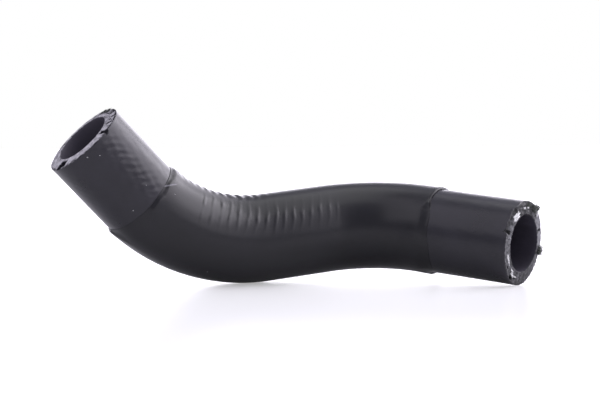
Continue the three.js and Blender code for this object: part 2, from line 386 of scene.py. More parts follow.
def rubber(name, colour, roughness, specks, pebbles):
    """Dark moulded rubber: one colour clouded by a slow noise and dusted with specks, its roughness clouded
    too, and a fine pebbled bump. Specks are their colour, share and scale, and pebbles their strength and
    scale."""
    material, shader = new_material(name)
    cloud = object_noise(material, CLOUD_SCALE, CLOUD_DETAIL)
    dark, light = (1 - CLOUD_CONTRAST) * np.array(colour), (1 + CLOUD_CONTRAST) * np.array(colour)
    clouded = ramp(material, cloud, CLOUD_LEVELS, dark, light)
    speck_colour, speck_share, speck_scale = specks
    speck = object_noise(material, speck_scale, SPECK_DETAIL)
    speck_levels = (1 - speck_share, 1 - speck_share + SPECK_EDGE)
    share = ramp(material, speck, speck_levels, (0.0, 0.0, 0.0), (1.0, 1.0, 1.0))
    link(material, lay_over(material, share, clouded, speck_colour), shader.inputs["Base Color"])
    gloss = multiply_add(material, cloud, 2 * CLOUD_GLOSS, roughness - CLOUD_GLOSS)
    link(material, gloss, shader.inputs["Roughness"])
    pebble_strength, pebble_scale = pebbles
    pebble = object_noise(material, pebble_scale, PEBBLE_DETAIL)
    emboss(material, shader, pebble, pebble_strength, PEBBLE_HEIGHT)
    return material


def paint(material, mark, colour):
    """Lays one more colour over a rubber, by a vertex attribute of the mesh."""
    base = material.node_tree.nodes["Principled BSDF"].inputs["Base Color"]
    share = node(material, "ShaderNodeAttribute", attribute_name=mark)
    link(material, lay_over(material, share.outputs["Fac"], base.links[0].from_socket, colour), base)


# Cut rubber: darker where it is torn deep, which is painted shade in the tears, lighter where the knife slid,
# and gritty all over
FINE_GRIT_SCALE, FINE_GRIT_DETAIL = 2600.0, 3.0
COARSE_GRIT_SCALE, COARSE_GRIT_DETAIL = 900.0, 2.0
CUT_ROUGHNESS = 0.62
CUT_SPECULAR = 0.5
GRIT_STRENGTH = 0.7
GRIT_HEIGHT = 0.12 * MM


def cut_rubber(name, dark, light, grit, dull):
    """Torn rubber of a cut face. It goes from dark to light by the mesh's attribute of tone and painted
    shade, plus grit times a fine and a coarser noise, and a gritty bump stands on it. Dull takes gloss from
    the dark parts."""
    material, shader = new_material(name)
    fine = object_noise(material, FINE_GRIT_SCALE, FINE_GRIT_DETAIL)
    coarse = object_noise(material, COARSE_GRIT_SCALE, COARSE_GRIT_DETAIL)
    both = multiply_add(material, coarse, grit, multiply_add(material, fine, grit, -grit))
    tone_and_shade = node(material, "ShaderNodeAttribute", attribute_name="tone_and_shade")
    share = node(material, "ShaderNodeMath", operation="ADD", use_clamp=True)
    link(material, tone_and_shade.outputs["Fac"], share.inputs[0])
    link(material, both, share.inputs[1])
    link(material, ramp(material, share.outputs[0], (0.0, 1.0), dark, light), shader.inputs["Base Color"])
    gloss = multiply_add(material, share.outputs[0], CUT_SPECULAR * dull, CUT_SPECULAR * (1 - dull))
    link(material, gloss, shader.inputs["Specular IOR Level"])
    shader.inputs["Roughness"].default_value = CUT_ROUGHNESS
    emboss(material, shader, fine, GRIT_STRENGTH, GRIT_HEIGHT)
    return material


# Colour and roughness, then colour, share and scale of the specks, then strength and scale of the pebbles
HOSE_BLACK, HOSE_ROUGHNESS = (0.0165, 0.0152, 0.0215), 0.29
HOSE_SPECKS, HOSE_PEBBLES = ((0.05, 0.05, 0.06), 0.26, 5200.0), (0.20, 2600.0)
BORE_GREY, BORE_ROUGHNESS = (0.042, 0.038, 0.052), 0.55
BORE_SPECKS, BORE_PEBBLES = ((0.06, 0.06, 0.07), 0.22, 3800.0), (0.30, 1800.0)
# Painted light: a paler grey laid into the bore near the left mouth, fading out deeper in
BORE_PAINTED_LIGHT = (0.085, 0.078, 0.100)
# Dark and light colour, grit, and the share of the gloss that the dark parts lose
LEFT_CUT = ((0.016, 0.015, 0.021), (0.52, 0.50, 0.54), 1.3, 0.8)
RIGHT_CUT = ((0.010, 0.010, 0.011), (0.130, 0.129, 0.140), 1.4, 0.15)

hose_rubber = rubber("hose_rubber", HOSE_BLACK, HOSE_ROUGHNESS, HOSE_SPECKS, HOSE_PEBBLES)
bore_rubber = rubber("bore_rubber", BORE_GREY, BORE_ROUGHNESS, BORE_SPECKS, BORE_PEBBLES)
paint(bore_rubber, "mouth_light", BORE_PAINTED_LIGHT)
left_cut = cut_rubber("left_cut_rubber", *LEFT_CUT)
right_cut = cut_rubber("right_cut_rubber", *RIGHT_CUT)

# Knit: pitch of its rows, number of its wales, its height, and the sector of the left end where it stands
# proud
KNIT_PITCH = 4.9 * MM
KNIT_WALES = 26
KNIT_RELIEF = 0.020 * MM
# The skin is sunk by a little more than the height of the faint rows
KNIT_SINK = 1.35 * KNIT_RELIEF
KNIT_FAINT, KNIT_PROUD = 0.6, 3.6
KNIT_STRIP = (60.0, 86.0, 22.0)
KNIT_WOBBLE = (17, 0.14, 4.0, 30)
SWELL_STRIP = (28, 84, 24)
SWELL = (18, 1.7, 2.2, 50)
KNIT_END = (LEFT_BARE - 2.5 * MM, LEFT_BARE - 0.5 * MM)


def knit(distance, clock):
    """How far the knitted yarns under the rubber lift the skin: rows along the hose times wales round it,
    each row half a wale further round than the last, plus half of the rows alone, which wander round the
    hose. A strip along the near side of the left end stands more proud, and an uneven swell is added beside
    it."""
    row = distance / KNIT_PITCH + grain(KNIT_WOBBLE, distance, clock)
    wave = np.cos(2 * np.pi * (row - 0.5)) * np.cos(KNIT_WALES * clock + np.pi * row)
    rows = wave + 0.5 * np.cos(2 * np.pi * row + 3 * np.sin(2 * clock))
    free = 1 - smooth(*KNIT_END, distance)
    strip = window(clock, KNIT_STRIP) * free
    swell = window(clock, SWELL_STRIP) * free * grain(SWELL, distance, clock)
    return KNIT_RELIEF * ((KNIT_FAINT + KNIT_PROUD * strip) * rows + swell)


# A knife pushed through rubber leaves a shallow cone. Height of the bore's edge and of the rim over the cut
# plane, in millimetres, at some clock angles.
LEFT_BORE_EDGE = ((0, 0.35), (50, 0.05), (90, 0.0), (140, 0.1), (180, 0.35), (270, 0.6))
LEFT_RIM = ((0, -0.4), (50, -0.2), (90, -0.1), (140, -0.15), (180, -0.35), (270, -0.5))
RIGHT_BORE_EDGE = ((0, 0.55), (50, 0.1), (90, 0.15), (140, 0.3), (180, 0.7), (250, 1.1), (310, 0.7))
RIGHT_RIM = ((0, 0.1), (50, 0.2), (90, 0.3), (140, 0.15), (174, -0.02), (220, 0.05), (270, 0.15))


def cone(bore_edge, rim, radius, clock):
    """Height of a cut face over the cut plane: straight from the bore's edge to the rim, at each clock
    angle."""
    share = (radius - BORE_RADIUS) / (SKIN_RADIUS - BORE_RADIUS)
    return (by_clock(clock, bore_edge) * (1 - share) + by_clock(clock, rim) * share) * MM


# Tears in the cut faces: clock angle in degrees, radius, width round the rim, length across the wall and
# depth in millimetres. Left: a pit of two, a notch across the wall, a nick on the far side and two slits.
# Right: notches and holes.
TEAR_EDGE = 0.3 * MM
LEFT_TEARS = (
    (153.0, 12.5, 3.6, 2.8, 1.6), (158.0, 13.6, 2.4, 2.0, 1.3), (64.6, 12.9, 1.4, 3.9, 1.0),
    (244.5, 12.0, 1.4, 1.8, 0.7), (41.5, 12.7, 0.75, 1.9, 0.9), (31.0, 12.4, 0.45, 0.8, 0.7),
)
RIGHT_TEARS = (
    (62.5, 13.6, 1.2, 2.9, 1.2), (281.0, 11.7, 1.1, 2.9, 1.1), (138.5, 13.5, 2.2, 1.6, 1.5),
    (148.0, 12.5, 1.6, 1.0, 1.0), (73.0, 12.1, 0.5, 0.5, 0.4), (118.0, 13.2, 1.3, 0.7, 0.6),
)
# Painted shade in the tears: how far up its walls a left tear is painted dark, and the tone painted into the
# tears of each face
LEFT_TEAR_WALL = 0.3
LEFT_TEAR_PAINTED_SHADE, RIGHT_TEAR_PAINTED_SHADE = -1.6, -0.6
# Left face: its levels, fields and sectors, and the box of its flap
LEFT_DEPTH, LEFT_TONE = 0.05, 0.58
LEFT_LIGHTER, LEFT_DIMMER, LEFT_FLAP_TONE = 0.22, 0.10, 0.35
LEFT_SKIN_LINE, LEFT_SKIN_BLUR, LEFT_SKIN_TONE = 0.55, 0.25 * MM, 0.55
LEFT_THREAD_RADII, LEFT_THREAD_LEVELS = (11.6 * MM, 12.2 * MM), (-0.25, 0.35)
LEFT_THREAD_TONE, LEFT_THREAD_DEPTH = 0.62, 0.22
LEFT_FINE_TORN, LEFT_COARSE_TORN = (11, 0.05, 0.35, 210), (12, 0.05, 0.9, 70)
LEFT_STREAKS, LEFT_PATCHES = (13, 0.42, 1.5, 140), (14, 0.16, 1.9, 46)
LEFT_LIGHT_SIDE, LEFT_DIM_SIDE = (55, 175, 40), (320, 50, 30)
LEFT_SKIN_WANDER, LEFT_SKIN_SIDE = (15, 0.25, 40.0, 60), (352, 190, 20)
LEFT_THREADS, LEFT_THREAD_SIDE = (16, 1.0, 2.2, 130), (314, 16, 8)
LEFT_FLAP = (45.5, 13.2, 0.5, 2.6)
# Right face: its levels, fields and sectors
RIGHT_DEPTH, RIGHT_TONE = 0.10, 0.34
RIGHT_LIGHTER, RIGHT_DIMMER, RIGHT_SMOOTH_TONE, RIGHT_PALE_TONE = 0.20, 0.16, 0.86, 0.92
RIGHT_TOP_DEPTH, RIGHT_TOP_TONE = 0.25, 0.24
RIGHT_STEP_RADII, RIGHT_STEP_DEPTH, RIGHT_STEP_TONE = (13.1 * MM, 13.5 * MM), 0.75, 0.38
RIGHT_RIM_RADII, RIGHT_RIM_TONE = (SKIN_RADIUS - 0.7 * MM, SKIN_RADIUS - 0.3 * MM), 0.20
RIGHT_COARSE_TORN, RIGHT_FINE_TORN = (21, 0.09, 2.4, 230), (22, 0.06, 0.5, 110)
RIGHT_STREAKS, RIGHT_GRIT = (23, 0.34, 1.8, 150), (24, 0.36, 0.7, 90)
RIGHT_LIGHT_SIDE, RIGHT_DIM_SIDE = (40, 112, 20), (118, 205, 30)
RIGHT_TOP, RIGHT_TOP_TORN, RIGHT_TOP_GRIT = (312, 26, 10), (25, 1.0, 0.9, 60), (26, 0.12, 0.7, 80)
RIGHT_SMOOTH_SIDE = (282, 308, 5)
RIGHT_PALE_SIDE, RIGHT_PALE_GRIT = (254, 279, 5), (27, 0.1, 0.7, 60)
RIGHT_STEP_SIDE, RIGHT_STEP_EDGE = (24, 61, 4), (28, 0.3, 30.0, 50)
RIGHT_RIM_SIDE = (60, 190, 16)


def dent(clock, radius, at_clock, at_radius, width, across):
    """Share of a tear in a cut face: 1 inside a box across the wall and round the rim, with sides that fall
    over the width of its edge along the cubic of smooth()."""
    round_rim = np.abs(apart(clock, np.radians(at_clock))) * radius
    inward = np.abs(radius - at_radius * MM)
    half_width, half_across = width / 2 * MM, across / 2 * MM
    inside = 1 - smooth(half_width - TEAR_EDGE / 2, half_width + TEAR_EDGE / 2, round_rim)
    return inside * (1 - smooth(half_across - TEAR_EDGE / 2, half_across + TEAR_EDGE / 2, inward))


def left_face(clock, radius):
    """Depth and tone of the left cut face, each a level plus its grains. The outer skin shows as a dark line
    of uneven width round the near side, and broken threads as dark streaks at the top. A tear takes the
    deeper of two depths and is painted dark down its walls too, which is painted shade, and beside one slit
    stands a pale flap."""
    depth = LEFT_DEPTH + grain(LEFT_FINE_TORN, radius, clock) + grain(LEFT_COARSE_TORN, radius, clock)
    tone_and_shade = LEFT_TONE + grain(LEFT_STREAKS, radius, clock) + grain(LEFT_PATCHES, radius, clock)
    tone_and_shade += LEFT_LIGHTER * window(clock, LEFT_LIGHT_SIDE) - LEFT_DIMMER * window(clock, LEFT_DIM_SIDE)
    skin_edge = SKIN_RADIUS - (LEFT_SKIN_LINE + grain(LEFT_SKIN_WANDER, radius, clock)) * MM
    skin = smooth(skin_edge - LEFT_SKIN_BLUR, skin_edge, radius) * window(clock, LEFT_SKIN_SIDE)
    tone_and_shade -= LEFT_SKIN_TONE * skin
    threads = window(clock, LEFT_THREAD_SIDE) * smooth(*LEFT_THREAD_RADII, radius)
    threads *= smooth(*LEFT_THREAD_LEVELS, grain(LEFT_THREADS, radius, clock))
    tone_and_shade -= LEFT_THREAD_TONE * threads
    depth += LEFT_THREAD_DEPTH * threads
    for *box, deep in LEFT_TEARS:
        share = dent(clock, radius, *box)
        depth = np.maximum(depth, deep * share)
        # Painted shade: each tear is painted dark down its walls and over its floor
        dark = smooth(0.0, LEFT_TEAR_WALL, share)
        tone_and_shade = tone_and_shade * (1 - dark) + LEFT_TEAR_PAINTED_SHADE * dark
    return depth * MM, tone_and_shade + LEFT_FLAP_TONE * dent(clock, radius, *LEFT_FLAP)


def right_face(clock, radius):
    """Depth and tone of the right cut face, each a level plus its grains. Its top is dark and ragged, and its
    far side smooth and pale. A step is broken out of the near rim, and a tear takes the deeper of two
    depths and is painted darker inside, which is painted shade."""
    depth = RIGHT_DEPTH + grain(RIGHT_COARSE_TORN, radius, clock) + grain(RIGHT_FINE_TORN, radius, clock)
    tone_and_shade = RIGHT_TONE + grain(RIGHT_STREAKS, radius, clock) + grain(RIGHT_GRIT, radius, clock)
    tone_and_shade += RIGHT_LIGHTER * window(clock, RIGHT_LIGHT_SIDE) - RIGHT_DIMMER * window(clock, RIGHT_DIM_SIDE)
    top = window(clock, RIGHT_TOP)
    depth += RIGHT_TOP_DEPTH * top * (0.5 + grain(RIGHT_TOP_TORN, radius, clock))
    tone_and_shade -= (RIGHT_TOP_TONE + grain(RIGHT_TOP_GRIT, radius, clock)) * top
    smooth_side = window(clock, RIGHT_SMOOTH_SIDE)
    tone_and_shade = tone_and_shade * (1 - smooth_side) + RIGHT_SMOOTH_TONE * smooth_side
    pale_side = window(clock, RIGHT_PALE_SIDE)
    pale = RIGHT_PALE_TONE + grain(RIGHT_PALE_GRIT, radius, clock)
    tone_and_shade = tone_and_shade * (1 - pale_side) + pale * pale_side
    step = smooth(*RIGHT_STEP_RADII, radius + MM * grain(RIGHT_STEP_EDGE, radius, clock))
    step *= window(clock, RIGHT_STEP_SIDE)
    depth += RIGHT_STEP_DEPTH * step
    tone_and_shade -= RIGHT_STEP_TONE * step
    tone_and_shade -= RIGHT_RIM_TONE * smooth(*RIGHT_RIM_RADII, radius) * window(clock, RIGHT_RIM_SIDE)
    for *box, deep in RIGHT_TEARS:
        share = dent(clock, radius, *box)
        depth = np.maximum(depth, deep * share)
        # Painted shade: each tear is painted darker inside
        tone_and_shade = tone_and_shade * (1 - share) + RIGHT_TEAR_PAINTED_SHADE * share
    return depth * MM, tone_and_shade


# Rows and columns of the hose's mesh
HOSE_COLUMNS = 360
FACE_ROWS = 29
CORNER_ROWS = 3
LEFT_ROWS, COVERED_ROWS, RIGHT_ROWS = 66, 24, 54
BORE_ROWS = 46
WALL_INSET, BORE_INSET = 0.95 * MM, 1.0 * MM
UNDER_SLEEVE = 3.0 * MM
BORE_GRAIN = (31, 0.03, 3.0, 40)
# The knit fades in past each rim, and the painted light near the left mouth fades out into the bore
KNIT_RIM = (0.8 * MM, 3.0 * MM)
MOUTH_LIGHT_FADE = (10 * MM, 60 * MM)


def face_rows():
    """Radius and drop of the rows across a cut face, from the bore to the outer rim. Both edges are rounded
    by a quarter circle."""
    flat = np.linspace(BORE_RADIUS + EDGE_ROUNDING, SKIN_RADIUS - EDGE_ROUNDING, FACE_ROWS)
    quarter = np.linspace(0, np.pi / 2, CORNER_ROWS + 1)[:-1]
    inward = EDGE_ROUNDING * (1 - np.cos(quarter))
    down = EDGE_ROUNDING * (1 - np.sin(quarter))
    radius = np.concatenate([BORE_RADIUS + inward, flat, SKIN_RADIUS - inward[::-1]])
    return radius, np.concatenate([down, np.zeros(FACE_ROWS), down[::-1]])


def closed_grid(name, points, uv, parts, materials, marks):
    """Mesh of a grid that closes on itself both ways: rows follow the closed profile of the wall and columns
    the clock angle. One quad joins each row and column to the next. parts gives each row's material, and
    marks the vertex attributes that the materials read."""
    rows, columns = points.shape[:2]
    mesh = bpy.data.meshes.new(name)
    mesh.vertices.add(rows * columns)
    mesh.vertices.foreach_set("co", points.reshape(-1).astype(np.float32))
    i, j = np.meshgrid(np.arange(rows), np.arange(columns), indexing="ij")
    k, m = (i + 1) % rows, (j + 1) % columns
    quads = np.stack([i * columns + j, i * columns + m, k * columns + m, k * columns + j], -1).reshape(-1)
    mesh.loops.add(len(quads))
    mesh.loops.foreach_set("vertex_index", quads.astype(np.int32))
    mesh.polygons.add(rows * columns)
    mesh.polygons.foreach_set("loop_start", np.arange(0, len(quads), 4, dtype=np.int32))
    mesh.polygons.foreach_set("material_index", np.repeat(parts, columns).astype(np.int32))
    mesh.polygons.foreach_set("use_smooth", np.ones(rows * columns, bool))
    layer = mesh.uv_layers.new(name="along_round")
    corner_j = np.stack([j, j + 1, j + 1, j], -1).reshape(-1)
    corner_i = np.stack([i, i, k, k], -1).reshape(-1)
    uvs = np.stack([uv[corner_i], corner_j / columns], -1)
    layer.data.foreach_set("uv", uvs.reshape(-1).astype(np.float32))
    for material in materials:
        mesh.materials.append(material)
    for mark, values in marks.items():
        attribute = mesh.attributes.new(mark, "FLOAT", "POINT")
        attribute.data.foreach_set("value", values.reshape(-1).astype(np.float32))
    mesh.update(calc_edges=True)
    mesh.validate()
    made = bpy.data.objects.new(name, mesh)
    scene.collection.objects.link(made)
    return made


hose_clock = np.arange(HOSE_COLUMNS) * 2 * np.pi / HOSE_COLUMNS
radius_rows, drop_rows = face_rows()
face_r, face_c = np.meshgrid(radius_rows, hose_clock, indexing="ij")
left_depth, left_tone_and_shade = left_face(face_c, face_r)
right_depth, right_tone_and_shade = right_face(face_c, face_r)
left_s = drop_rows[:, None] + left_depth - cone(LEFT_BORE_EDGE, LEFT_RIM, face_r, face_c)
right_s = HOSE_LENGTH - drop_rows[:, None] - right_depth + cone(RIGHT_BORE_EDGE, RIGHT_RIM, face_r, face_c)

covered = (LEFT_BARE + UNDER_SLEEVE, HOSE_LENGTH - RIGHT_BARE - UNDER_SLEEVE)
stations = np.concatenate([
    np.linspace(WALL_INSET, covered[0], LEFT_ROWS),
    np.linspace(*covered, COVERED_ROWS)[1:-1],
    np.linspace(covered[1], HOSE_LENGTH - WALL_INSET, RIGHT_ROWS),
])
wall_s, wall_c = np.meshgrid(stations, hose_clock, indexing="ij")
bare = smooth(*KNIT_RIM, wall_s) * smooth(*KNIT_RIM, HOSE_LENGTH - wall_s)
wall_r = SKIN_RADIUS - KNIT_SINK + bare * knit(wall_s, wall_c)
bore_stations = np.linspace(HOSE_LENGTH - BORE_INSET, BORE_INSET, BORE_ROWS)
bore_s, bore_c = np.meshgrid(bore_stations, hose_clock, indexing="ij")
bore_r = BORE_RADIUS + MM * grain(BORE_GRAIN, bore_s, bore_c)

# The profile goes out over the left face, along the wall, in over the right face and back through the bore
all_s = np.concatenate([left_s, wall_s, right_s[::-1], bore_s])
all_r = np.concatenate([face_r, wall_r, face_r[::-1], bore_r])
all_c = np.concatenate([face_c, wall_c, face_c[::-1], bore_c])
all_tone_and_shade = np.concatenate([left_tone_and_shade, np.zeros_like(wall_s), right_tone_and_shade[::-1], np.zeros_like(bore_s)])
# Painted light near the left mouth, which fades out into the bore
all_mouth_light = 1 - smooth(*MOUTH_LIGHT_FADE, all_s)
# Materials by row: the skin's rubber also covers two rows of each rim, and the bore's the last row of the
# right face
hose_materials = [hose_rubber, bore_rubber, left_cut, right_cut]
SKIN, BORE, LEFT_END, RIGHT_END = range(4)
part_counts = [len(left_s) - 2, len(wall_s) + 4, len(right_s) - 3, len(bore_s) + 1]
part_rows = np.repeat([LEFT_END, SKIN, RIGHT_END, BORE], part_counts)
hose_along = np.arange(len(all_s)) / len(all_s)
hose_points = on_route(all_s, all_r, all_c)
hose_marks = {"tone_and_shade": all_tone_and_shade, "mouth_light": all_mouth_light}
hose = closed_grid("hose_body_dressed", hose_points, hose_along, part_rows, hose_materials, hose_marks)
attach(hose, "root")
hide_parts("hose_body")


# Sleeve: a thin tube of softer rubber, pushed over the middle of the hose before curing. Its lips taper down
# to the hose, and the knitted yarns under it show as ridges along the inside of the first bend.
SLEEVE_OUTER_RADIUS = 15.5 * MM
SLEEVE_HEIGHT = SLEEVE_OUTER_RADIUS - HOSE_RADIUS
SLEEVE_SEAT = 0.02 * MM
SLEEVE_START = LEFT_BARE
SLEEVE_END = HOSE_LENGTH - RIGHT_BARE
LIP_LENGTH = 5.0 * MM
# Crown, taper and thickness at the edge of both lips, and run of the right edge, in millimetres, at some
# clock angles
LEFT_CROWN = (
    (0, 0.90), (46, 0.84), (58, 0.74), (68, 0.72), (80, 0.78), (92, 0.76), (106, 0.68), (150, 0.66),
    (178, 0.84), (240, 0.80), (330, 1.0),
)
LEFT_TAPER = (
    (0, 3.2), (40, 3.0), (50, 1.6), (60, 2.4), (68, 2.6), (78, 1.4), (92, 1.5), (106, 7.0), (156, 7.0),
    (174, 0.6), (240, 1.0), (330, 1.5),
)
LEFT_THIN = (
    (0, 0.10), (50, 0.12), (60, 0.03), (70, 0.03), (78, 0.10), (92, 0.08), (100, 0.03), (160, 0.03),
    (174, 0.20), (240, 0.2), (330, 0.1),
)
RIGHT_CROWN = (
    (0, 0.78), (40, 0.82), (50, 0.96), (62, 1.02), (80, 0.98), (98, 0.74), (110, 0.70), (150, 0.70),
    (172, 0.84), (240, 0.86), (345, 0.78),
)
RIGHT_TAPER = (
    (0, 0.3), (28, 0.3), (38, 1.6), (48, 4.0), (84, 4.6), (104, 7.0), (150, 6.0), (170, 0.5), (240, 0.6),
    (345, 0.3),
)
RIGHT_THIN = ((0, 0.25), (28, 0.25), (44, 0.03), (150, 0.03), (170, 0.20), (345, 0.25))
RIGHT_EDGE = (
    (0, -0.7), (28, -0.2), (46, 1.4), (60, 2.2), (80, 2.2), (100, 3.0), (140, 2.4), (165, -0.9), (250, -0.6),
    (345, -0.9),
)
LEFT_EDGE_WAVER = (43, 0.25, 1.0, 11)
# Ridges: they stand on the inside of the first bend, and slant more from the third to the eighth
RIDGE_START = 46.1 * MM
RIDGE_PITCH = 3.3 * MM
RIDGE_COUNT = 16
RIDGE_HEIGHT = 0.17 * MM
RIDGE_SHARPNESS = 3.0
RIDGE_TROUGH = 0.4
RIDGE_CLOCK = np.radians(47)
RIDGE_SPREAD = np.radians(35)
RIDGE_FADE = 0.65
RIDGE_SLANT, RIDGE_MORE_SLANT, RIDGE_SLANT_RISE = 0.25, 1.15, (2.0, 7.0)
RIDGE_RISE, RIDGE_FALL = 0.3, 0.5
RIDGE_WOBBLE, RIDGE_UNEVEN = (41, 0.12, 4.0, 24), (42, 0.55, 3.0, 40)
ROWS_PER_RIDGE = 10
# Teeth: lower ripples along the top
TOOTH_PITCH = 4.2 * MM
TOOTH_HEIGHT = 0.14 * MM
TOOTH_SIDE = (285, 12, 24)
TOOTH_RISE, TOOTH_FALL = (SLEEVE_START + 2 * MM, SLEEVE_START + 5 * MM), (70 * MM, 90 * MM)
TOOTH_WOBBLE, TOOTH_UNEVEN = (44, 1.2, 6.0, 14), (45, 0.5, 3.0, 30)


def stretch(distance, radius, at_clock):
    """How long one metre of centreline is on the wall at this radius and clock angle: less on the inside of a
    bend, where it is 1 minus the radius over the bend's radius times the cosine of the angle between them."""
    begin = 0.0
    for length, bend, bend_clock in ROUTE:
        if distance < begin + length:
            return 1 - radius / bend * np.cos(at_clock - bend_clock) if bend else 1.0
        begin += length
    return 1.0


ridge_rows = [RIDGE_START]
while len(ridge_rows) <= RIDGE_COUNT * ROWS_PER_RIDGE:
    last = ridge_rows[-1]
    ridge_rows.append(last + RIDGE_PITCH / ROWS_PER_RIDGE / stretch(last, SLEEVE_OUTER_RADIUS, RIDGE_CLOCK))
ridge_rows = np.array(ridge_rows)


def lip_height(from_edge, thin, crown, taper):
    """Height of the sleeve over the hose near a lip: from its thin edge up to the lip's crown over its taper
    along the cubic of smooth(), then back to the sleeve's own height over the lip's length."""
    rise = smooth(0.0, 1.0, from_edge / taper)
    relax = smooth(0.0, 1.0, (from_edge - taper) / LIP_LENGTH)
    return thin + (crown - thin) * rise + (SLEEVE_HEIGHT - crown) * relax


def ridges(distance, clock):
    """Height of the ridges: a wave with narrow crests, one for each ridge, that slants across the inside of
    the bend, fades away round the sleeve with the square of a cosine and grows fainter from the first ridge
    to the last. The crest is a raised cosine to the power of its sharpness, less the trough."""
    phase = np.interp(distance, ridge_rows, np.arange(len(ridge_rows)) / ROWS_PER_RIDGE)
    slant = RIDGE_SLANT + RIDGE_MORE_SLANT * smooth(*RIDGE_SLANT_RISE, phase)
    lean = slant * apart(clock, RIDGE_CLOCK) + grain(RIDGE_WOBBLE, distance, clock)
    inside = smooth(0.0, RIDGE_RISE, phase) * smooth(0.0, RIDGE_FALL, RIDGE_COUNT - phase)
    crest = (0.5 - 0.5 * np.cos(2 * np.pi * (phase + lean))) ** RIDGE_SHARPNESS
    uneven = 1 + grain(RIDGE_UNEVEN, distance, clock)
    away = np.clip(np.abs(apart(clock, RIDGE_CLOCK)) / RIDGE_SPREAD, 0, 1)
    fade = 1 - RIDGE_FADE * phase / RIDGE_COUNT
    return RIDGE_HEIGHT * inside * (crest * uneven - RIDGE_TROUGH) * np.cos(away * np.pi / 2) ** 2 * fade


def teeth(distance, clock):
    """Height of the low teeth along the top, on the inside of the first bend: a cosine with uneven crests
    that comes in behind the left lip and dies away past the bend."""
    place = smooth(*TOOTH_RISE, distance) * (1 - smooth(*TOOTH_FALL, distance)) * window(clock, TOOTH_SIDE)
    wave = np.cos(2 * np.pi * distance / TOOTH_PITCH + grain(TOOTH_WOBBLE, distance, clock))
    return TOOTH_HEIGHT * place * wave * (1 + grain(TOOTH_UNEVEN, distance, clock))


# Rows and columns of the sleeve's mesh. The rows near a lip follow its uneven edge.
SLEEVE_COLUMNS = 320
LIP_ROWS, LEFT_PLAIN_ROWS, RIGHT_PLAIN_ROWS, INNER_ROWS = 22, 34, 30, 36
LEFT_LIP_ZONE, RIGHT_LIP_ZONE = 5 * MM, 6 * MM
EDGE_REACH = 8 * MM

sleeve_clock = np.arange(SLEEVE_COLUMNS) * 2 * np.pi / SLEEVE_COLUMNS
left_edge = SLEEVE_START + MM * grain(LEFT_EDGE_WAVER, np.zeros(SLEEVE_COLUMNS), sleeve_clock)
right_edge = SLEEVE_END + by_clock(sleeve_clock, RIGHT_EDGE) * MM
from_left = np.concatenate([
    np.linspace(0, LEFT_LIP_ZONE, LIP_ROWS)[:-1],
    np.linspace(LEFT_LIP_ZONE, RIDGE_START - SLEEVE_START, LEFT_PLAIN_ROWS)[:-1],
])
from_right = np.concatenate([
    np.linspace(SLEEVE_END - ridge_rows[-1], RIGHT_LIP_ZONE, RIGHT_PLAIN_ROWS)[:-1],
    np.linspace(RIGHT_LIP_ZONE, 0, LIP_ROWS),
])
near_left = 1 - smooth(0.0, EDGE_REACH, from_left)[:, None]
near_right = 1 - smooth(0.0, EDGE_REACH, from_right)[:, None]
left_part = SLEEVE_START + from_left[:, None] + near_left * (left_edge - SLEEVE_START)
middle_part = np.repeat(ridge_rows[:-1, None], SLEEVE_COLUMNS, 1)
right_part = SLEEVE_END - from_right[:, None] + near_right * (right_edge - SLEEVE_END)
out_s = np.concatenate([left_part, middle_part, right_part])
out_c = np.repeat(sleeve_clock[None, :], len(out_s), 0)
left_thin, left_crown, left_taper = (
    by_clock(sleeve_clock, rows) * MM for rows in (LEFT_THIN, LEFT_CROWN, LEFT_TAPER)
)
right_thin, right_crown, right_taper = (
    by_clock(sleeve_clock, rows) * MM for rows in (RIGHT_THIN, RIGHT_CROWN, RIGHT_TAPER)
)
left_lip = lip_height(out_s - left_edge, left_thin, left_crown, left_taper)
right_lip = lip_height(right_edge - out_s, right_thin, right_crown, right_taper)
lips = np.where(out_s < (SLEEVE_START + SLEEVE_END) / 2, left_lip, right_lip)
out_r = SKIN_RADIUS + lips + ridges(out_s, out_c) + teeth(out_s, out_c)
in_s = left_edge + np.linspace(1, 0, INNER_ROWS)[:, None] * (right_edge - left_edge)
in_c = np.repeat(sleeve_clock[None, :], INNER_ROWS, 0)
in_r = np.full_like(in_s, SKIN_RADIUS + SLEEVE_SEAT)
sleeve_s = np.concatenate([out_s, in_s])
sleeve_r = np.concatenate([out_r, in_r])
sleeve_c = np.concatenate([out_c, in_c])

# A pale line is painted across the left lip at a slant, a painted highlight on the lip's edge, and the edge
# of the right one is cut off square and matt
LIP_HIGHLIGHT_PALE = (0.30, 0.29, 0.33)
LIP_HIGHLIGHT_WIDTH = 0.22 * MM
# Millimetres along the hose at one clock angle in degrees, and how many it runs back per degree
LIP_HIGHLIGHT_PLACE, LIP_HIGHLIGHT_CLOCK = 31.5, 48.0
LIP_HIGHLIGHT_SLANT = 2.3 / 8.0
LIP_HIGHLIGHT_SIDE = (44, 60, 6)
MATT_START, MATT_END = 0.9 * MM, 0.4 * MM
MATT_GAP = (44, 158, 10)
SLEEVE_SPECULAR, MATT_SPECULAR = 0.5, 0.15
SLEEVE_BLACK, SLEEVE_ROUGHNESS = (0.0048, 0.0044, 0.0070), 0.30
SLEEVE_SPECKS, SLEEVE_PEBBLES = ((0.045, 0.045, 0.055), 0.25, 5200.0), (0.20, 2400.0)

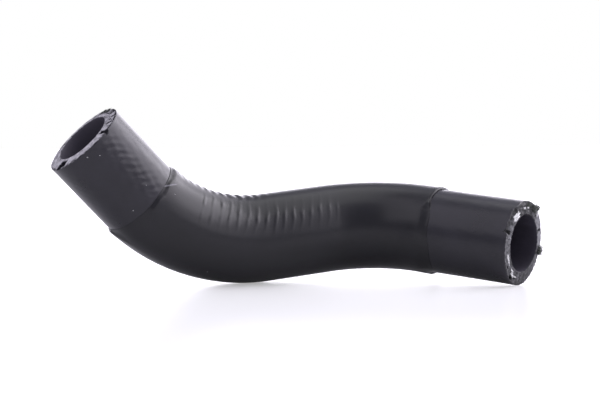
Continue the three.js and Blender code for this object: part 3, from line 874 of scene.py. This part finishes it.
# Painted highlight: a pale line laid into the sleeve's colour along the edge of the left lip
line_s = (LIP_HIGHLIGHT_PLACE - (np.degrees(sleeve_c) - LIP_HIGHLIGHT_CLOCK) * LIP_HIGHLIGHT_SLANT) * MM
lip_highlight = np.exp(-((sleeve_s - line_s) / LIP_HIGHLIGHT_WIDTH) ** 2) * window(sleeve_c, LIP_HIGHLIGHT_SIDE)
matt = smooth(right_edge - MATT_START, right_edge - MATT_END, sleeve_s) * (1 - window(sleeve_c, MATT_GAP))
sleeve_rubber = rubber("sleeve_rubber", SLEEVE_BLACK, SLEEVE_ROUGHNESS, SLEEVE_SPECKS, SLEEVE_PEBBLES)
paint(sleeve_rubber, "lip_highlight", LIP_HIGHLIGHT_PALE)
matt_mark = node(sleeve_rubber, "ShaderNodeAttribute", attribute_name="matt")
matt_loss = MATT_SPECULAR - SLEEVE_SPECULAR
matt_gloss = multiply_add(sleeve_rubber, matt_mark.outputs["Fac"], matt_loss, SLEEVE_SPECULAR)
sleeve_shader = sleeve_rubber.node_tree.nodes["Principled BSDF"]
link(sleeve_rubber, matt_gloss, sleeve_shader.inputs["Specular IOR Level"])
sleeve_along = np.arange(len(sleeve_s)) / len(sleeve_s)
sleeve_points = on_route(sleeve_s, sleeve_r, sleeve_c)
sleeve_marks = {"lip_highlight": lip_highlight, "matt": matt}
sleeve = closed_grid("abrasion_sleeve_dressed", sleeve_points, sleeve_along, np.zeros(len(sleeve_s)),
                     [sleeve_rubber], sleeve_marks)
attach(sleeve, "root")
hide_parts("abrasion_sleeve")


# White yarn: the knife pulls the ends of the knitted polyester out of the right cut face. These are clean
# fibre, matted into flat tufts and loops that are rooted in the rubber, and a few single ends stand up out of
# them.
FIBRE_STEPS = 6
FIBRE_SIDES = 4
FIBRE_NARROWING = 0.6
# A direction that no fibre follows
FIBRE_ASKEW = np.array([0.31, 0.52, 0.79])
FIBRE_ROOT = 0.35
FIBRE_STRAY = 1.6
# Shares of a row's rise, run round the rim, run outwards and thickness, between which its fibres differ
RISE_SHARES, ROUND_SHARES, OUTWARD_SHARES, THICKNESS_SHARES = (0.45, 1.0), (0.5, 1.2), (0.5, 1.3), (0.7, 1.25)
FACES = {"left": (0.0, -1, LEFT_BORE_EDGE, LEFT_RIM), "right": (HOSE_LENGTH, 1, RIGHT_BORE_EDGE, RIGHT_RIM)}
# Face, clock angle in degrees, and in millimetres the radius, size round the rim and across the wall, rise,
# drop, run outwards and round the rim, stray, number of fibres and their thickness
WHITE_TUFTS = (
    ("right", 37.0, 12.1, 1.4, 2.2, 1.1, 0.9, 0.0, -2.0, 0.25, 26, 0.55),
    ("right", 31.0, 12.1, 1.4, 2.2, 1.4, 1.1, 0.0, -1.9, 0.25, 26, 0.55),
    ("right", 1.5, 12.4, 0.5, 0.6, 0.4, 0.2, 0.0, -0.6, 0.1, 8, 0.32),
    ("right", 348.0, 12.4, 0.4, 0.5, 0.4, 0.2, 0.0, -0.4, 0.1, 7, 0.28),
    ("right", 310.0, 13.0, 1.9, 2.0, 0.7, 0.3, 0.2, 0.6, 0.3, 26, 0.34),
    ("right", 100.0, 12.0, 1.1, 1.5, 0.6, 0.5, 0.0, 2.1, 0.15, 16, 0.50),
    ("right", 108.0, 11.9, 0.9, 1.0, 0.5, 0.5, 0.0, 1.9, 0.15, 14, 0.45),
    ("right", 129.0, 11.6, 0.5, 0.5, 0.9, 0.6, 0.2, 2.2, 0.15, 10, 0.36),
    ("right", 135.0, 12.4, 0.9, 1.0, 0.7, 0.6, 0.2, 2.0, 0.2, 14, 0.42),
    ("right", 146.0, 12.3, 0.6, 0.5, 0.9, 0.8, 0.0, 1.8, 0.2, 8, 0.36),
    ("right", 249.0, 13.3, 3.2, 1.6, 1.7, 0.0, 0.3, -0.3, 0.4, 40, 0.30),
)
YARN_LEVELS = (0.36, 0.62)
YARN_DETAIL = 2.0
YARN_ROUGHNESS = 0.85
YARN_SHEEN = 0.25


def fibre_mesh(name, base, first, second, thickness, material):
    """Mesh of many short fibres. Each follows base plus t times first plus t squared times second, with t
    from 0 to 1, and its four-sided section narrows to two fifths at the tip."""
    t = np.linspace(0, 1, FIBRE_STEPS + 1)[None, :, None]
    path = base[:, None] + t * first[:, None] + t ** 2 * second[:, None]
    tangent = first[:, None] + 2 * t * second[:, None]
    tangent /= np.linalg.norm(tangent, axis=-1, keepdims=True)
    side = np.cross(tangent, FIBRE_ASKEW)
    side /= np.linalg.norm(side, axis=-1, keepdims=True)
    other = np.cross(tangent, side)
    angle = (np.arange(FIBRE_SIDES) * 2 * np.pi / FIBRE_SIDES)[:, None]
    reach = thickness[:, None, None, None] / 2 * (1 - FIBRE_NARROWING * t)[:, :, None]
    points = path[:, :, None] + reach * (np.cos(angle) * side[:, :, None] + np.sin(angle) * other[:, :, None])
    count = len(base)
    ring = np.arange(count * (FIBRE_STEPS + 1) * FIBRE_SIDES).reshape(count, FIBRE_STEPS + 1, FIBRE_SIDES)
    near, far = ring[:, :-1], ring[:, 1:]
    walls = np.stack([near, np.roll(near, -1, 2), np.roll(far, -1, 2), far], -1).reshape(-1, 4)
    caps = np.concatenate([ring[:, 0, ::-1], ring[:, -1]])
    mesh = bpy.data.meshes.new(name)
    mesh.from_pydata(points.reshape(-1, 3).tolist(), [], np.concatenate([walls, caps]).tolist())
    mesh.polygons.foreach_set("use_smooth", np.ones(len(mesh.polygons), bool))
    mesh.materials.append(material)
    mesh.validate()
    made = bpy.data.objects.new(name, mesh)
    scene.collection.objects.link(made)
    return made


def tufts(seed, rows):
    """Base, first and second vectors and thickness of the fibres of some tufts. The bases are spread evenly
    over an ellipse on the cut face, and start a root's length inside it. first goes out of the face and round
    the rim, and second outwards and back down, with a random stray."""
    random = np.random.default_rng(seed)
    parts = []
    for face, at_clock, at_radius, wide, across, rise, drop, outward, around, stray, count, thick in rows:
        spin = random.uniform(0, 2 * np.pi, count)
        spread = np.sqrt(random.uniform(0, 1, count))
        radius = (at_radius + spread * np.sin(spin) * across / 2) * MM
        clock = np.radians(at_clock) + spread * np.cos(spin) * wide / 2 * MM / radius
        plane, sign, bore_edge, rim = FACES[face]
        base = on_route(plane + sign * (cone(bore_edge, rim, radius, clock) - FIBRE_ROOT * MM), radius, clock)
        frames = route_frames(np.full(count, plane))
        out = sign * frames[:, :3, 2]
        radial = sideways(frames, clock)
        round_way = np.cross(frames[:, :3, 2], radial)
        rises = (FIBRE_ROOT + rise * random.uniform(*RISE_SHARES, (count, 1))) * MM
        first = out * rises + round_way * around * MM * random.uniform(*ROUND_SHARES, (count, 1))
        second = radial * outward * MM * random.uniform(*OUTWARD_SHARES, (count, 1)) - out * drop * MM
        stray_outward = random.uniform(-FIBRE_STRAY, FIBRE_STRAY, (count, 1))
        stray_around = random.uniform(-FIBRE_STRAY, FIBRE_STRAY, (count, 1))
        second += stray * MM * (radial * stray_outward + round_way * stray_around)
        parts.append((base, first, second, thick * MM * random.uniform(*THICKNESS_SHARES, count)))
    return [np.concatenate(columns) for columns in zip(*parts)]


def yarn_material(name, dark, light, scale):
    """Matt yarn fibre: a fine noise in Object coordinates between a darker and a lighter tone."""
    material, shader = new_material(name)
    fleck = object_noise(material, scale, YARN_DETAIL)
    link(material, ramp(material, fleck, YARN_LEVELS, dark, light), shader.inputs["Base Color"])
    shader.inputs["Roughness"].default_value = YARN_ROUGHNESS
    shader.inputs["Sheen Weight"].default_value = YARN_SHEEN
    return material


white_yarn = yarn_material("white_yarn", (0.66, 0.66, 0.65), (0.95, 0.95, 0.94), 900.0)
white_ends = fibre_mesh("white_yarn_ends", *tufts(51, WHITE_TUFTS), white_yarn)
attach(white_ends, "root")
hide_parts("right_yarn_2", "right_yarn_3", "right_yarn_4", "right_yarn_5", "right_yarn_6",
            "right_yarn_7", "right_yarn_9")


# Dark yarn: the same polyester soaked in rubber cement, torn off in stiff ragged ends. One stands far out of
# the right mouth, one hangs over its top rim, and a few lie over the top of the left one.
DARK_TUFTS = (
    ("right", 326.0, 12.9, 3.4, 2.4, 0.9, 0.0, 0.8, 0.0, 0.30, 90, 0.34),
    ("right", 319.0, 13.6, 2.0, 1.4, 1.3, 0.0, 1.2, 0.0, 0.30, 50, 0.26),
    ("right", 345.0, 13.4, 4.0, 1.6, 0.4, 0.0, 0.2, 0.0, 0.30, 60, 0.28),
    ("right", 248.0, 12.7, 3.4, 2.0, 1.4, 0.0, 0.1, 0.0, 0.45, 60, 0.28),
    ("right", 250.0, 13.1, 1.4, 0.9, 1.7, 0.0, 0.4, 0.0, 0.45, 16, 0.22),
    ("left", 334.0, 12.9, 2.4, 1.9, 0.7, 0.3, 0.4, 0.8, 0.25, 40, 0.34),
    ("left", 346.0, 13.1, 2.4, 1.9, 0.7, 0.3, 0.4, 0.8, 0.25, 40, 0.32),
    ("left", 5.0, 12.9, 0.9, 1.2, 0.2, 0.2, 0.1, 0.7, 0.15, 10, 0.22),
)

dark_yarn = yarn_material("dark_yarn", (0.022, 0.025, 0.021), (0.135, 0.145, 0.125), 1500.0)
dark_ends = fibre_mesh("dark_yarn_ends", *tufts(61, DARK_TUFTS), dark_yarn)
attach(dark_ends, "root")
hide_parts("left_yarn_1", "left_yarn_2", "left_yarn_3", "right_yarn_1", "right_yarn_8")


# Lint: a few flecks of cut white fibre that cling to the rubber, most of them near the left mouth. Each is
# one short bent fibre, sunk a little into the skin.
LINT_THICKNESS = 0.24 * MM
LINT_SINK = 0.03 * MM
LINT_BEND = 0.5
# Distance along the hose in millimetres, clock angle in degrees and length in millimetres
LINT = (
    (1.8, 107.0, 0.42), (4.2, 93.5, 0.26), (23.0, 76.0, 0.30),
    (26.3, 112.0, 0.30), (33.9, 58.0, 0.34), (57.6, 137.0, 0.26),
)

lint_s, lint_c, lint_length = np.array(LINT).T * np.array([[MM], [np.radians(1)], [MM]])
lint_r = np.where(lint_s > SLEEVE_START, SKIN_RADIUS + SLEEVE_HEIGHT, SKIN_RADIUS) - LINT_SINK
lint_frames = route_frames(lint_s)
lint_first = lint_frames[:, :3, 2] * lint_length[:, None]
lint_second = np.cross(sideways(lint_frames, lint_c), lint_first) * LINT_BEND
lint_base = on_route(lint_s, lint_r, lint_c)
lint = fibre_mesh("lint", lint_base, lint_first, lint_second, np.full(len(LINT), LINT_THICKNESS), white_yarn)
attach(lint, "root")
